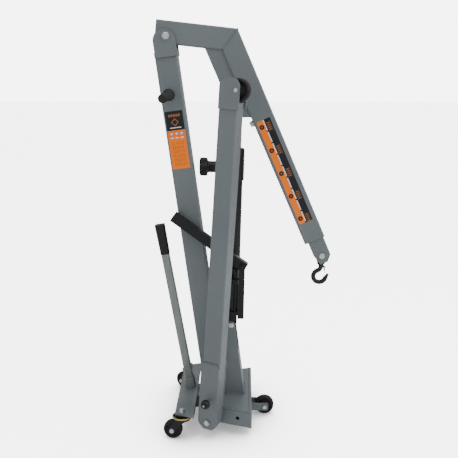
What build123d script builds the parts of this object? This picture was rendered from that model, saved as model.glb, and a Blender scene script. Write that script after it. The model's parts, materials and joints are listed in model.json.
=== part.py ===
from build123d import *
import os
from math import atan2, cos, degrees, hypot, pi, radians, sin, tan

# Folding engine hoist crane, folded for storage.  Millimetres, +Z up.
# +X is the way the boom and the unfolded legs point, -Y is the side called near,
# and the origin is on the floor under the middle of the folded crane.

# ---------------------------------------------------------------- driving dimensions
# wheels and base
caster_wheel_radius = 38.0
wheel_width = 30.0
caster_axis_x = -241.0
caster_axis_y = 221.0
caster_trail = 37.0
near_caster_turn = -10.0
far_caster_turn = -34.0
front_wheel_radius = 40.0
front_wheel_x = 90.0
deck_top = 112.0
plate = 8.0
bracket_bottom = 38.0
cross_rear_x = -268.0
cross_front_x = -192.0
cross_half_y = 244.0
deck_rear_x = -168.0
spine_half = 56.0
front_face_x = 35.0
fork_half_gap = 24.0
fork_arm = 6.0

# legs
splay = 20.0
leg_pivot = (-113.0, -159.0, 75.0)
leg_lean = 4.0
leg_unfolded = 90.27
leg_tube = 70.0
leg_wall = 3.5
shoe = 6.0
leg_gap = 1.0
leg_foot = 28.0
leg_wheel_radius = 41.5
leg_wheel_at = 1291.0
leg_wheel_offset = 27.0
leg_cheek_foot = 1224.0
leg_cheek_top = 1333.0
leg_cheek_front = 42.0
leg_bracket_width = 68.0
lock_radius = 97.0
lock_offset = 2.0
lock_pin_radius = 7.0

# mast
mast_width = 80.0
mast_depth = 86.0
mast_wall = 4.0
mast_foot_x = -118.0
mast_tilt = 7.5
mast_length = 1400.0
boom_pivot_along = 1454.0
boom_pivot_forward = 12.0
cheek_radius = 43.0
cheek_centre = 2.5
cheek_drop = 16.0
cheek_foot = 1378.0
push_bar_along = 1242.0
push_bar_reach = 205.0
push_bar_sweep = 3.5
push_bar_drop = 3.0

# boom
boom_tilt = 6.4
boom_turn = 60.0
boom_height = 85.0
boom_width = 76.0
boom_wall = 4.0
boom_pivot_drop = 14.5
boom_tail = 43.0
boom_corner = 240.0
jib_length = 846.0
gusset_depth = 58.0
gusset_bottom_z = 1252.0
gusset_half = 31.0
clamp_bolt_along = 326.0
ram_pin_along = 236.0
ram_pin_depth = 71.0

# extension and hook
extension_height = 66.0
extension_width = 62.0
extension_rise = 4.0
extension_reach = 103.0
extension_length = 600.0
hook_pin_reach = 72.0
hook_pin_rise = 2.0
hook_neck_drop = 46.0
hook_bowl_drop = 93.0
hook_bowl_shift = -5.0
hook_bowl_radius = 25.0
hook_bar_radius = 9.5
hook_tip_radius = 4.5

# ram and pump
ram_foot = (-50.0, 418.0)
cylinder_radius = 28.0
rod_radius = 19.0
gland_radius = 33.0
cylinder_top = 594.0
gland_foot = 592.0
gland_top = 714.0
ram_block_foot = 25.0
ram_block_top = 55.0
manifold_front = 39.0
pump_y = -62.0
pump_forward = 12.0
pump_radius = 17.0
pump_top = 196.0
plunger_radius = 8.0
lever_pivot = (-4.0, 669.0)
lever_rise = 36.2
lever_size = 39.0
lever_wall = 3.0
lever_length = 340.0
knob_height = 637.0
knob_lobes = 5
knob_radius = 37.5
knob_reach = 144.0
pedestal_half = 60.0
pedestal_top = 438.0
pedestal_front = (-4.0, -40.0)

# stored pump handle
handle_foot = (-223.0, 17.0)
handle_tilt = 9.6
handle_bar = 32.0
handle_length = 722.0
grip_length = 124.0

# fits and fasteners
running = 0.05
clear = 0.4
boom_bolt_radius = 10.0
leg_bolt_radius = 8.0
axle_radius = 6.0


# ---------------------------------------------------------------- small helpers
def span_box(x0, x1, y0, y1, z0, z1):
    """A box between two corners."""
    return Pos((x0 + x1) / 2, (y0 + y1) / 2, (z0 + z1) / 2) * Box(x1 - x0, y1 - y0, z1 - z0)


def side_plate(outline, y0, y1):
    """A flat plate standing in the XZ plane, from its outline as (x, z) points."""
    face = make_face(Polyline(*outline, close=True))
    return extrude(Plane.XZ.offset(-y1) * face, y1 - y0)


def cross_pin(radius, x, z, y0, y1):
    """A round bar along Y."""
    return Pos(x, (y0 + y1) / 2, z) * Rot(90, 0, 0) * Cylinder(radius, y1 - y0)


def hex_prism(across_flats, x, z, y0, y1):
    """A hexagon head or nut with its axis along Y."""
    face = RegularPolygon(across_flats / 2, 6, major_radius=False)
    solid = extrude(Plane.XZ.offset(-y1) * face, y1 - y0)
    return Pos(x, 0, z) * solid


def cross_bolt(radius, x, z, y0, y1, head=8.0, across_flats=24.0):
    """A bolt along Y: a shank from y0 to y1, a head on the -Y end and a nut on the +Y end."""
    shank = cross_pin(radius, x, z, y0, y1 + head + 4)
    washer_radius = across_flats / 2 + 2
    washers = cross_pin(washer_radius, x, z, y0 - 2, y0) + cross_pin(washer_radius, x, z, y1, y1 + 2)
    head_end = hex_prism(across_flats, x, z, y0 - 2 - head, y0 - 2)
    nut_end = hex_prism(across_flats, x, z, y1 + 2, y1 + 2 + head)
    return shank + washers + head_end + nut_end


def square_tube(length, height, width, wall, corner=6.0):
    """A hollow section lying along +X from the origin: height along Z, width along Y."""
    outer = RectangleRounded(width, height, corner)
    inner = RectangleRounded(width - 2 * wall, height - 2 * wall, max(corner - wall, 1.5))
    return extrude(Plane.YZ * (outer - inner), length)


def standing_tube(length, depth, width, wall, corner=6.0):
    """A hollow section standing along +Z from the origin: depth along X, width along Y."""
    outer = RectangleRounded(depth, width, corner)
    inner = RectangleRounded(depth - 2 * wall, width - 2 * wall, max(corner - wall, 1.5))
    return extrude(outer - inner, length)


def wheel(radius, width, bore):
    """A solid roller wheel on the Y axis with a crowned tread, dished sides and a hub."""
    half = width / 2
    outline = [
        (bore, half - 1),
        (14, half - 1),
        (17, half - 5),
        (radius - 12, half - 5),
        (radius - 8, half),
        (radius - 3, half),
        (radius, half - 5),
    ]
    mirrored = [(r, -y) for r, y in reversed(outline)]
    face = make_face(Polyline(*(outline + mirrored), close=True))
    return revolve(face, Axis.Y)


def unit(angle):
    """The direction in the XZ plane that is this many degrees below +X."""
    return cos(radians(angle)), -sin(radians(angle))


def write(name, *solids):
    """Save one node; several solids stay separate solids."""
    shapes = [s for item in solids for s in item.solids()]
    node = shapes[0] if len(shapes) == 1 else Compound(children=shapes)
    export_step(node, f"parts/{name}.step")


# ---------------------------------------------------------------- frames
mast_frame = Pos(mast_foot_x, 0, deck_top) * Rot(0, -mast_tilt, 0)
pivot = (
    mast_foot_x - boom_pivot_along * sin(radians(mast_tilt)) + boom_pivot_forward * cos(radians(mast_tilt)),
    deck_top + boom_pivot_along * cos(radians(mast_tilt)) + boom_pivot_forward * sin(radians(mast_tilt)),
)
boom_frame = Pos(pivot[0], 0, pivot[1]) * Rot(0, boom_tilt, 0)
jib_frame = boom_frame * Pos(boom_corner, 0, boom_pivot_drop) * Rot(0, boom_turn, 0)


def jib_point(along, rise):
    """World (x, z) of a point in the jib's own frame."""
    where = (jib_frame * Pos(along, 0, rise)).position
    return where.X, where.Z


ram_pin = jib_point(ram_pin_along, -ram_pin_depth)
ram_length = hypot(ram_pin[0] - ram_foot[0], ram_pin[1] - ram_foot[1])
ram_lean = degrees(atan2(ram_pin[0] - ram_foot[0], ram_pin[1] - ram_foot[1]))
ram_frame = Pos(ram_foot[0], 0, ram_foot[1]) * Rot(0, ram_lean, 0)
lever_frame = Pos(lever_pivot[0], pump_y, lever_pivot[1]) * Rot(0, lever_rise, 0)
hook_pin = jib_point(jib_length + hook_pin_reach, hook_pin_rise)
hook_frame = Pos(hook_pin[0], 0, hook_pin[1])
handle_frame = Pos(handle_foot[0], handle_foot[1], deck_top) * Rot(0, -handle_tilt, 0)
leg_frame = Pos(*leg_pivot) * Rot(0, 0, -splay)
leg_line = leg_frame * Rot(0, leg_lean, 0)
leg_middle = -(leg_gap + shoe + leg_tube / 2)
leg_outside = -(leg_gap + 2 * shoe + leg_tube)


def bracket_edge(x):
    """Y of the near leg bracket's outer face at this X."""
    return leg_pivot[1] - (x - leg_pivot[0]) * tan(radians(splay))


# ---------------------------------------------------------------- base
def deck_plate():
    """The flat deck over both leg brackets."""
    rear, front = deck_rear_x, front_face_x - plate
    outline = [(rear, bracket_edge(rear)), (front, bracket_edge(front))]
    outline += [(front, -bracket_edge(front)), (rear, -bracket_edge(rear))]
    face = make_face(Polyline(*outline, close=True))
    return Pos(0, 0, deck_top - plate) * extrude(face, plate)


def rear_cross_plate():
    """The plate across the back that carries the two swivel casters."""
    slant = (cross_front_x - cross_rear_x) / 2 * tan(radians(splay))
    y = cross_half_y
    outline = [(cross_rear_x, -y + slant), (cross_front_x, -y - slant)]
    outline += [(cross_front_x, y + slant), (cross_rear_x, y - slant)]
    face = make_face(Polyline(*outline, close=True))
    body = Pos(0, 0, deck_top - plate) * extrude(face, plate)
    for side in (-1, 1):
        body -= Pos(caster_axis_x, side * caster_axis_y, deck_top - plate / 2) * Cylinder(6.2, 2 * plate)
    return body


def base_spine():
    """The hollow T-shaped girder under the rear plate and the deck that joins them."""
    top, low, wall = deck_top - plate, 50.0, 5.0
    rear, middle = cross_rear_x + 8, cross_front_x - 6
    cross_box = span_box(rear, middle, -128, 128, low, top)
    stem_box = span_box(rear, -96, -spine_half, spine_half, low, top)
    cross_hollow = span_box(rear + wall, middle - wall, -140, 140, low + wall, top - wall)
    stem_hollow = span_box(rear + wall, -80, -spine_half + wall, spine_half - wall, low + wall, top - wall)
    return cross_box + stem_box - cross_hollow - stem_hollow


def leg_bracket():
    """The near leg bracket: a hollow box along the splayed line, drilled for pivot and lock."""
    height = deck_top - plate - bracket_bottom
    length = 420.0
    tube = square_tube(length, height, leg_bracket_width, 5.0, 4.0)
    body = leg_frame * Pos(-250, leg_bracket_width / 2, bracket_bottom + height / 2 - leg_pivot[2]) * tube
    body &= span_box(deck_rear_x, front_face_x - plate, -400, 0, 0, 400)
    for x, z, radius in lock_holes():
        body -= leg_frame * cross_pin(radius, x, z, -5, leg_bracket_width + 5)
    return body


def lock_holes():
    """Centres and radii of the bores through the bracket: the pivot, then the unfolded lock."""
    down = radians(leg_unfolded)
    x = lock_radius * sin(down) + lock_offset * cos(down)
    z = lock_radius * cos(down) - lock_offset * sin(down)
    return [(0.0, 0.0, leg_bolt_radius), (x, z, lock_pin_radius + 0.5)]


def lock_lug():
    """The upright lug behind the folded leg that its lock pin can enter."""
    base = deck_top - leg_pivot[2]
    x = lock_radius * sin(radians(leg_lean)) + lock_offset * cos(radians(leg_lean))
    z = lock_radius * cos(radians(leg_lean)) - lock_offset * sin(radians(leg_lean))
    low = side_plate([(x - 26, base), (x + 26, base), (x + 17, z), (x - 17, z)], 0, 10)
    body = low + cross_pin(17.0, x, z, 0, 10)
    body -= cross_pin(lock_pin_radius + 0.5, x, z, -5, 15)
    return leg_frame * body


def front_plate():
    """The upright plate that closes the front of both brackets."""
    half = -bracket_edge(front_face_x - plate)
    return span_box(front_face_x - plate, front_face_x, -half, half, bracket_bottom, deck_top)


def front_fork_arm(side):
    """One flat arm of the fixed front wheel fork."""
    y0, y1 = sorted((side * fork_half_gap, side * (fork_half_gap + fork_arm)))
    start, end, axle_z = front_face_x, front_wheel_x + 16, front_wheel_radius
    outline = [(start, axle_z - 16), (end - 4, axle_z - 16), (end, axle_z - 12)]
    outline += [(end, axle_z + 12), (end - 4, axle_z + 16), (start, axle_z + 16)]
    blade = side_plate(outline, y0, y1)
    return blade - cross_pin(axle_radius, front_wheel_x, axle_z, y0 - 1, y1 + 1)


def front_axle():
    """The front wheel's axle bolt with the two spacers that centre the wheel."""
    reach = fork_half_gap + fork_arm
    bolt = cross_bolt(axle_radius, front_wheel_x, front_wheel_radius, -reach, reach, 6.0, 18.0)
    for side in (-1, 1):
        y0, y1 = sorted((side * (wheel_width / 2 + 0.5), side * fork_half_gap))
        bolt += cross_pin(10.0, front_wheel_x, front_wheel_radius, y0, y1)
    return bolt


# ---------------------------------------------------------------- mast
def mast_tube():
    """The mast, cut level at its foot."""
    tube = standing_tube(mast_length + 20, mast_depth, mast_width, mast_wall, 8.0)
    body = mast_frame * Pos(0, 0, -20) * tube
    body -= span_box(-400, 200, -100, 100, 0, deck_top)
    for side in (-1, 1):
        body -= push_bar_core(side, 12.6)
    return body


def mast_cheek(side):
    """One rounded plate welded on the mast's side, carrying the boom pivot."""
    half = mast_width / 2
    y0, y1 = sorted((side * half, side * (half + plate)))
    crown = boom_pivot_along - cheek_drop
    low = span_box(cheek_centre - cheek_radius, cheek_centre + cheek_radius, y0, y1, cheek_foot, crown)
    top = cross_pin(cheek_radius, cheek_centre, crown, y0, y1)
    bore = cross_pin(boom_bolt_radius, boom_pivot_forward, boom_pivot_along, y0 - 1, y1 + 1)
    return mast_frame * (low + top - bore)


def boom_pivot_bolt():
    """The bolt on which the boom turns."""
    reach = mast_width / 2 + plate
    return cross_bolt(boom_bolt_radius, pivot[0], pivot[1], -reach, reach, 11.0, 30.0)


def push_bar_frame(side):
    """Frame of one push handle, its axis along local Z and swept a little to the back."""
    lean = push_bar_sweep if side < 0 else -push_bar_sweep
    turn = -side * (90 + push_bar_drop)
    return mast_frame * Pos(0, side * mast_width / 2, push_bar_along) * Rot(0, 0, -lean) * Rot(turn, 0, 0)


def push_bar_core(side, radius):
    """A round core along one push handle, used for the bar and for its hole in the mast."""
    return push_bar_frame(side) * Pos(0, 0, -10 + 12) * Cylinder(radius, 24)


def push_bar(side):
    """One push handle tube, welded into the mast's side."""
    length = push_bar_reach + 5
    tube = Cylinder(12.5, length) - Cylinder(10.0, length + 2)
    return push_bar_frame(side) * Pos(0, 0, length / 2 - 8) * tube


def push_bar_grip(side):
    """The flanged rubber grip on one push handle."""
    start, end = 58.0, push_bar_reach + 3.0
    outline = [
        (12.5, start),
        (23.0, start),
        (23.0, start + 6),
        (17.0, start + 12),
        (16.0, start + 70),
        (17.0, end - 8),
        (14.0, end),
        (0.0, end),
        (0.0, end - 5.9),
        (12.5, end - 5.9),
    ]
    face = Plane.XZ * make_face(Polyline(*outline, close=True))
    return push_bar_frame(side) * revolve(face, Axis.Z)


def ram_pedestal():
    """The channel in front of the mast's foot that holds the ram's lower end."""
    front = pedestal_front
    back_low = mast_front_x(deck_top)
    back_top = mast_front_x(pedestal_top - 26)
    outline = [
        (back_low, deck_top),
        (front[0] + 8, deck_top),
        (front[1] + 6, pedestal_top - 34),
        (front[1] - 12, pedestal_top),
        (back_top + 42, pedestal_top),
        (back_top, pedestal_top - 26),
    ]
    body = side_plate(outline, -pedestal_half, pedestal_half)
    inside = [(back_low - 60, deck_top - 1), (front[0] - 1, deck_top - 1)]
    inside += [(front[1] - 3, 500), (back_low - 160, 500)]
    body -= side_plate(inside, -pedestal_half + plate, pedestal_half - plate)
    window = span_box(-120, 60, -pedestal_half + plate, pedestal_half - plate, 300, 600)
    body -= window
    return body - cross_pin(9.0, ram_foot[0], ram_foot[1], -100, 100)


def mast_front_x(z):
    """X of the mast's front face at this height."""
    half = mast_depth / 2 / cos(radians(mast_tilt))
    return mast_foot_x - (z - deck_top) * tan(radians(mast_tilt)) + half


def ram_foot_bolt():
    """The bolt through the pedestal and the ram's foot."""
    return cross_bolt(9.0, ram_foot[0], ram_foot[1], -pedestal_half, pedestal_half, 9.0, 26.0)


def handle_socket():
    """The short tube on the rear plate that stores the pump handle."""
    body = handle_frame * Pos(0, 0, -15) * standing_tube(62, 40, 40, 3.4, 5.0)
    return body - span_box(-400, 0, -100, 100, 0, deck_top)


def leg_pivot_bolt():
    """The bolt on which the near leg folds."""
    return leg_frame * cross_bolt(leg_bolt_radius, 0, 0, leg_outside, leg_bracket_width, 9.0, 24.0)


def caster_stem_nut(side):
    """A caster's stem nut and washer on top of the rear plate."""
    where = Pos(caster_axis_x, side * caster_axis_y, deck_top)
    washer = Pos(0, 0, 1) * Cylinder(12, 2)
    nut = extrude(Plane.XY.offset(2) * RegularPolygon(9.5, 6, major_radius=False), 9)
    stem = Pos(0, 0, 4) * Cylinder(6, 22)
    return where * (washer + nut + stem)


# ---------------------------------------------------------------- casters and wheels
def caster_frame(side, turn):
    """Frame of one caster: origin on the floor under its swivel axis, wheel towards local -X."""
    return Pos(caster_axis_x, side * caster_axis_y, 0) * Rot(0, 0, turn)


def caster_fork():
    """The pressed swivel fork with its race, in the caster's own frame."""
    top = deck_top - plate - clear
    inner = wheel_width / 2 + 2.5
    race = Pos(0, 0, top - 5) * Cylinder(24, 10) + Pos(0, 0, top - 13) * Cylinder(36, 6)
    race -= Pos(0, 0, top) * Cylinder(6 + running, 60)
    crown = Pos(0, 0, top - 18) * Cylinder(33, 5)
    crown -= Pos(0, 0, top) * Cylinder(6 + running, 60)
    blades = None
    for side in (-1, 1):
        y0, y1 = sorted((side * inner, side * (inner + 4)))
        outline = [
            (24, top - 18),
            (-26, top - 18),
            (-caster_trail - 13, caster_wheel_radius + 4),
            (-caster_trail - 9, caster_wheel_radius - 10),
            (-caster_trail + 9, caster_wheel_radius - 10),
            (4, top - 34),
        ]
        blade = side_plate(outline, y0, y1)
        blades = blade if blades is None else blades + blade
    body = race + crown + blades
    return body - cross_pin(5.0, -caster_trail, caster_wheel_radius, -60, 60)


def caster_axle():
    """A caster's axle bolt, in the caster's own frame."""
    reach = wheel_width / 2 + 6.5
    return cross_bolt(5.0, -caster_trail, caster_wheel_radius, -reach, reach, 5.0, 15.0)


def caster_wheel():
    """A caster's wheel, in the caster's own frame."""
    return Pos(-caster_trail, 0, caster_wheel_radius) * wheel(caster_wheel_radius, wheel_width, 5.0 + running)


def front_wheel():
    """The fixed front wheel."""
    body = wheel(front_wheel_radius, wheel_width, axle_radius + running)
    return Pos(front_wheel_x, 0, front_wheel_radius) * body


# ---------------------------------------------------------------- near leg
def leg_bores(reach):
    """Bores across the leg for its pivot bolt and its lock pin."""
    pivot_bore = cross_pin(leg_bolt_radius + running, 0, 0, -reach, 5)
    lock_bore = cross_pin(lock_pin_radius + running, lock_offset, lock_radius, -reach, 5)
    return pivot_bore + lock_bore


def leg_tube_body():
    """The square leg tube, standing, with both foot corners cut off."""
    length = leg_wheel_at - leg_wheel_radius - 3 + leg_foot
    body = Pos(0, leg_middle, -leg_foot) * standing_tube(length, leg_tube, leg_tube, leg_wall, 6.0)
    half = leg_tube / 2
    low = -leg_foot
    rear_corner = [(-60, low - 20), (-half + 22, low - 2), (-half, low + 20), (-60, 40)]
    front_corner = [(60, low - 20), (half - 14, low - 2), (half, low + 12), (60, 30)]
    body -= side_plate(rear_corner, -90, 5)
    body -= side_plate(front_corner, -90, 5)
    body -= leg_bores(100)
    return leg_line * body


def leg_shoe(y0):
    """A doubler plate on one side of the leg's foot."""
    half = leg_tube / 2
    outline = [
        (-half + 20, -leg_foot),
        (half - 13, -leg_foot),
        (half, -leg_foot + 13),
        (half, 236),
        (half - 12, 250),
        (-half - 4, 250),
        (-half - 4, -leg_foot + 30),
        (-half, -leg_foot + 20),
    ]
    return leg_line * (side_plate(outline, y0, y0 + shoe) - leg_bores(100))


def leg_cheek(y0):
    """A plate with a rounded top beside the leg's upper end that holds the wheel."""
    half = leg_tube / 2
    corner = 30.0
    y1 = y0 + shoe
    body = span_box(-half, leg_cheek_front, y0, y1, leg_cheek_foot, leg_cheek_top - corner)
    body += span_box(-half + corner, leg_cheek_front - corner, y0, y1, leg_cheek_foot, leg_cheek_top)
    for x in (-half + corner, leg_cheek_front - corner):
        body += cross_pin(corner, x, leg_cheek_top - corner, y0, y1)
    bore = cross_pin(axle_radius, leg_wheel_offset, leg_wheel_at, y0 - 5, y1 + 5)
    return leg_line * (body - bore)


def leg_axle():
    """The leg wheel's axle bolt with the two spacers that centre the wheel."""
    y0 = leg_outside
    y1 = -leg_gap
    bolt = cross_pin(axle_radius, leg_wheel_offset, leg_wheel_at, y0 - 3, y1 + 0.5)
    head = cross_pin(10.0, leg_wheel_offset, leg_wheel_at, y0 - 5, y0)
    gap = wheel_width / 2 + 0.5
    for low, high in ((y0 + shoe, leg_middle - gap), (leg_middle + gap, y1 - shoe)):
        bolt += cross_pin(10.0, leg_wheel_offset, leg_wheel_at, low, high)
    return leg_line * (bolt + head)


def leg_wheel():
    """The small wheel at the leg's far end."""
    body = wheel(leg_wheel_radius, wheel_width, axle_radius + running)
    return leg_line * Pos(leg_wheel_offset, leg_middle, leg_wheel_at) * body


def lock_pin():
    """The leg's lock pin with its ball knob, drawn back so that its tip is inside the leg."""
    pin = cross_pin(lock_pin_radius, lock_offset, lock_radius, leg_outside - 22, -leg_gap - 1)
    collar = cross_pin(11.0, lock_offset, lock_radius, leg_outside - 23, leg_outside - 18)
    ball = Pos(lock_offset, leg_outside - 36, lock_radius) * Sphere(18.0)
    return leg_line * (pin + collar + ball)


# ---------------------------------------------------------------- boom
def mitre_block():
    """A large block with one face on the mitre plane at the boom's bend, on the jib's side."""
    size = 800.0
    bend = Pos(boom_corner, 0, boom_pivot_drop) * Rot(0, boom_turn / 2, 0)
    return bend * Pos(size / 2, 0, 0) * Box(size, size, size)


def boom_arm():
    """The boom's short first section, from its tail to the mitre."""
    length = boom_tail + boom_corner + 60
    tube = square_tube(length, boom_height, boom_width, boom_wall, 6.0)
    body = Pos(-boom_tail, 0, boom_pivot_drop) * tube
    body -= mitre_block()
    body -= cross_pin(boom_bolt_radius + 5, 0, 0, -60, 60)
    return boom_frame * body


def boom_jib():
    """The boom's long second section, from the mitre to its open tip."""
    tube = Pos(-60, 0, 0) * square_tube(jib_length + 60, boom_height, boom_width, boom_wall, 6.0)
    keep = Rot(0, -boom_turn / 2, 0) * Pos(-400, 0, 0) * Box(800, 800, 800)
    bolt_hole = Pos(clamp_bolt_along, 0, -boom_height / 2) * Cylinder(8.0, 20)
    return jib_frame * (tube - keep - bolt_hole)


def boom_gusset():
    """The channel in the bend's inner corner; the ram pushes between its two sides."""
    arm_x, arm_z = unit(boom_tilt)
    jib_x, jib_z = unit(boom_tilt + boom_turn)
    inner = (boom_frame * Pos(boom_corner - boom_height / 2 * tan(radians(boom_turn / 2)), 0,
                              boom_pivot_drop - boom_height / 2)).position
    back = gusset_depth / sin(radians(boom_turn))
    left = (inner.X - back * arm_x, inner.Z - back * arm_z)
    run = (inner.Z - gusset_bottom_z) / -jib_z
    low_right = (inner.X + run * jib_x, gusset_bottom_z)
    run_left = (left[1] - gusset_bottom_z) / -jib_z
    low_left = (left[0] + run_left * jib_x, gusset_bottom_z)
    outline = [left, (inner.X, inner.Z), low_right, low_left]
    body = side_plate(outline, -gusset_half, gusset_half)
    hollow = Pos(0, 0, -boom_height / 2 - 6 - 100) * Box(1400, 2 * (gusset_half - 6), 200)
    body -= jib_frame * hollow
    return body - cross_pin(9.0, ram_pin[0], ram_pin[1], -60, 60)


def boom_pivot_bush():
    """The steel bush through the boom's tail."""
    bush = cross_pin(boom_bolt_radius + 5, 0, 0, -boom_width / 2 - 1.5, boom_width / 2 + 1.5)
    return boom_frame * (bush - cross_pin(boom_bolt_radius + running, 0, 0, -60, 60))


def ram_bolt_end(side):
    """One end of the ram's upper bolt, outside the gusset."""
    y0, y1 = (-gusset_half - 10, -gusset_half) if side < 0 else (gusset_half, gusset_half + 10)
    head = hex_prism(26.0, ram_pin[0], ram_pin[1], *sorted((y0, y1)))
    inner = sorted((side * (gusset_half - 6 + 0.2), side * gusset_half))
    return head + cross_pin(9.0, ram_pin[0], ram_pin[1], *inner)


def clamp_bolt():
    """The screw under the jib that clamps the extension, with its welded nut."""
    nut = extrude(Plane.XY.offset(-6) * RegularPolygon(11.0, 6, major_radius=False), 6)
    head = extrude(Plane.XY.offset(-14.5) * RegularPolygon(9.0, 6, major_radius=False), 8)
    shank = Pos(0, 0, -3) * Cylinder(7.9, 16)
    return jib_frame * Pos(clamp_bolt_along, 0, -boom_height / 2) * (nut + shank + head)


# ---------------------------------------------------------------- extension and hook
def extension_tube():
    """The sliding extension, with its end cut back to two ears for the hook pin."""
    start = jib_length + extension_reach - extension_length
    tube = Pos(start, 0, extension_rise) * square_tube(
        extension_length, extension_height, extension_width, 4.0, 5.0
    )
    top = extension_rise + extension_height / 2
    low = extension_rise - extension_height / 2
    end = jib_length + extension_reach
    corner_cut = side_plate([(end - 25, top + 1), (end + 5, top + 1), (end + 5, top - 27)], -60, 60)
    under_cut = side_plate([(end - 47, low - 1), (end + 5, low - 1), (end + 5, low + 14)], -60, 60)
    slot = span_box(end - 62, end + 5, -extension_width / 2 + 4, extension_width / 2 - 4, low - 5, top + 5)
    bore = cross_pin(7.0, jib_length + hook_pin_reach, hook_pin_rise, -60, 60)
    return jib_frame * (tube - corner_cut - under_cut - slot - bore)


def hook_bolt():
    """The bolt across the extension's ears on which the hook block swings."""
    half = extension_width / 2
    return cross_bolt(7.0, hook_pin[0], hook_pin[1], -half, half, 7.0, 20.0)


def hook_clevis():
    """The swivel block between the extension's ears."""
    eye = cross_pin(20.0, 0, 0, -15, 15)
    foot = -hook_neck_drop + 12
    outline = [(-27, -4), (-25, 4), (25, 4), (27, -4), (15, foot), (-15, foot)]
    cheeks = side_plate(outline, -15, 15)
    cheeks -= span_box(-30, 30, -10.5, 10.5, -hook_neck_drop + 16, -20)
    skirt = Pos(0, 0, -hook_neck_drop + 11) * Cylinder(16.0, 10)
    spacers = cross_pin(12.0, 0, 0, -extension_width / 2 + 4 + clear, extension_width / 2 - 4 - clear)
    body = eye + cheeks + skirt + spacers
    body -= cross_pin(7.0 + running, 0, 0, -60, 60)
    return hook_frame * (body - Pos(0, 0, -hook_neck_drop + 10) * Cylinder(7.0 + running, 16))


def hook_centreline():
    """The hook's centre line in its own XZ plane, from the shank's foot round to the tip's root."""
    bowl = hook_bowl_radius
    centre_x, centre_z = hook_bowl_shift, -hook_bowl_drop
    start = radians(112)
    shoulder = (centre_x + bowl * cos(start), centre_z + bowl * sin(start))
    heading = (-sin(start), cos(start))
    neck_foot = -hook_neck_drop - 4
    neck = Line((0, neck_foot + 4), (0, neck_foot))
    bend = Bezier(
        (0, neck_foot),
        (0, neck_foot - 12),
        (shoulder[0] - 8 * heading[0], shoulder[1] - 8 * heading[1]),
        shoulder,
    )
    round_arc = CenterArc((centre_x, centre_z), bowl, 112, 224)
    return Wire([Plane.XZ * edge for edge in (neck, bend, round_arc)])


def crane_hook():
    """The forged hook, hanging from a swivel shank with a collar inside the block."""
    path = hook_centreline()
    section = Plane(origin=path.position_at(0), z_dir=path.tangent_at(0)) * Circle(hook_bar_radius)
    bar = sweep(section, path)
    root, heading = path.position_at(1), path.tangent_at(1) + Vector(0.12, 0, 0)
    point = Solid.make_cone(hook_bar_radius, hook_tip_radius, 24, Plane(origin=root, z_dir=heading))
    tip = Pos(*root) * Sphere(hook_bar_radius) + point
    shank = Pos(0, 0, -hook_neck_drop + 9.5) * Cylinder(7.0, 23)
    collar = Pos(0, 0, -hook_neck_drop + 3) * Cylinder(12.0, 5)
    nut = Pos(0, 0, -hook_neck_drop + 19) * Cylinder(9.8, 5)
    lug = span_box(2, 14.5, -3, 3, -hook_neck_drop - 10.5, -hook_neck_drop - 3)
    lug += cross_pin(5.0, 14.5, -hook_neck_drop - 8, -3, 3)
    body = bar + tip + shank + collar + nut + lug
    return hook_frame * (body - cross_pin(2.0 + running, 14.5, -hook_neck_drop - 8, -20, 20))


def latch_frame():
    """Frame of the latch hinge beside the hook's neck."""
    return hook_frame * Pos(14.5, 0, -hook_neck_drop - 8)


def hook_latch():
    """The sprung steel latch that closes the hook's mouth, with its hinge barrel."""
    strip = side_plate([(-3, -7), (0, -7), (4, -25), (1.5, -25)], -5.5, 5.5)
    body = strip + cross_pin(2.0, 0, 0, -5, 5)
    for side in (-1, 1):
        y0, y1 = sorted((side * 3.5, side * 5.5))
        body += side_plate([(-3.5, 0), (3.5, 0), (2.5, -14), (-2, -14)], y0, y1)
        body += cross_pin(3.5, 0, 0, y0, y1)
    return latch_frame() * body


# ---------------------------------------------------------------- ram and pump
def ram_block():
    """The cast foot block: an eye between the pedestal's sides, and the manifold above them."""
    eye = cross_pin(22.0, 0, 0, -24, 24)
    stalk = span_box(-22, 22, -24, 24, 0, ram_block_foot + 1)
    bed = span_box(-34, 22, pump_y - 20, 34, ram_block_foot, ram_block_top)
    y0, y1 = pump_y - 22, pump_y + 24
    manifold = span_box(pump_forward - 22, 22, y0, y1, ram_block_foot, ram_block_top + 8)
    manifold += span_box(20, manifold_front, y0, y1, ram_block_foot + 24, ram_block_top + 14)
    seat = Pos(pump_forward, pump_y, ram_block_top + 4) * Cylinder(pump_radius, 20)
    cup = Pos(0, 0, ram_block_top) * Cylinder(cylinder_radius, 40)
    body = eye + stalk + bed + manifold - seat - Pos(0, 0, 10) * cup
    body = ram_frame * (body - cross_pin(9.0 + running, 0, 0, -60, 60))
    for piece in (pump_link(-1), pump_link(1), *valve_plugs()):
        body -= piece
    return body


def ram_cylinder():
    """The long cylinder tube."""
    foot = ram_block_top - 10
    tube = Cylinder(cylinder_radius, cylinder_top - foot)
    bore = Cylinder(cylinder_radius - 5, cylinder_top - foot + 2)
    return ram_frame * Pos(0, 0, (cylinder_top + foot) / 2) * (tube - bore)


def ram_gland():
    """The screwed head sleeve with the side boss for the release valve."""
    outline = [
        (rod_radius + running, cylinder_top),
        (cylinder_radius, cylinder_top),
        (cylinder_radius, gland_foot - 8),
        (gland_radius, gland_foot - 4),
        (gland_radius, gland_top - 5),
        (gland_radius - 5, gland_top),
        (rod_radius + running, gland_top),
    ]
    sleeve = revolve(Plane.XZ * make_face(Polyline(*outline, close=True)), Axis.Z)
    boss = Pos(-gland_radius + 2, 0, knob_height) * Rot(0, 90, 0) * Cylinder(19.0, 20)
    boss -= Cylinder(gland_radius - 2, 3000)
    seat = Pos(-gland_radius - 6, 0, knob_height) * Rot(0, 90, 0) * Cylinder(8.0 + running, 24)
    return ram_frame * (sleeve + boss - seat)


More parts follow.
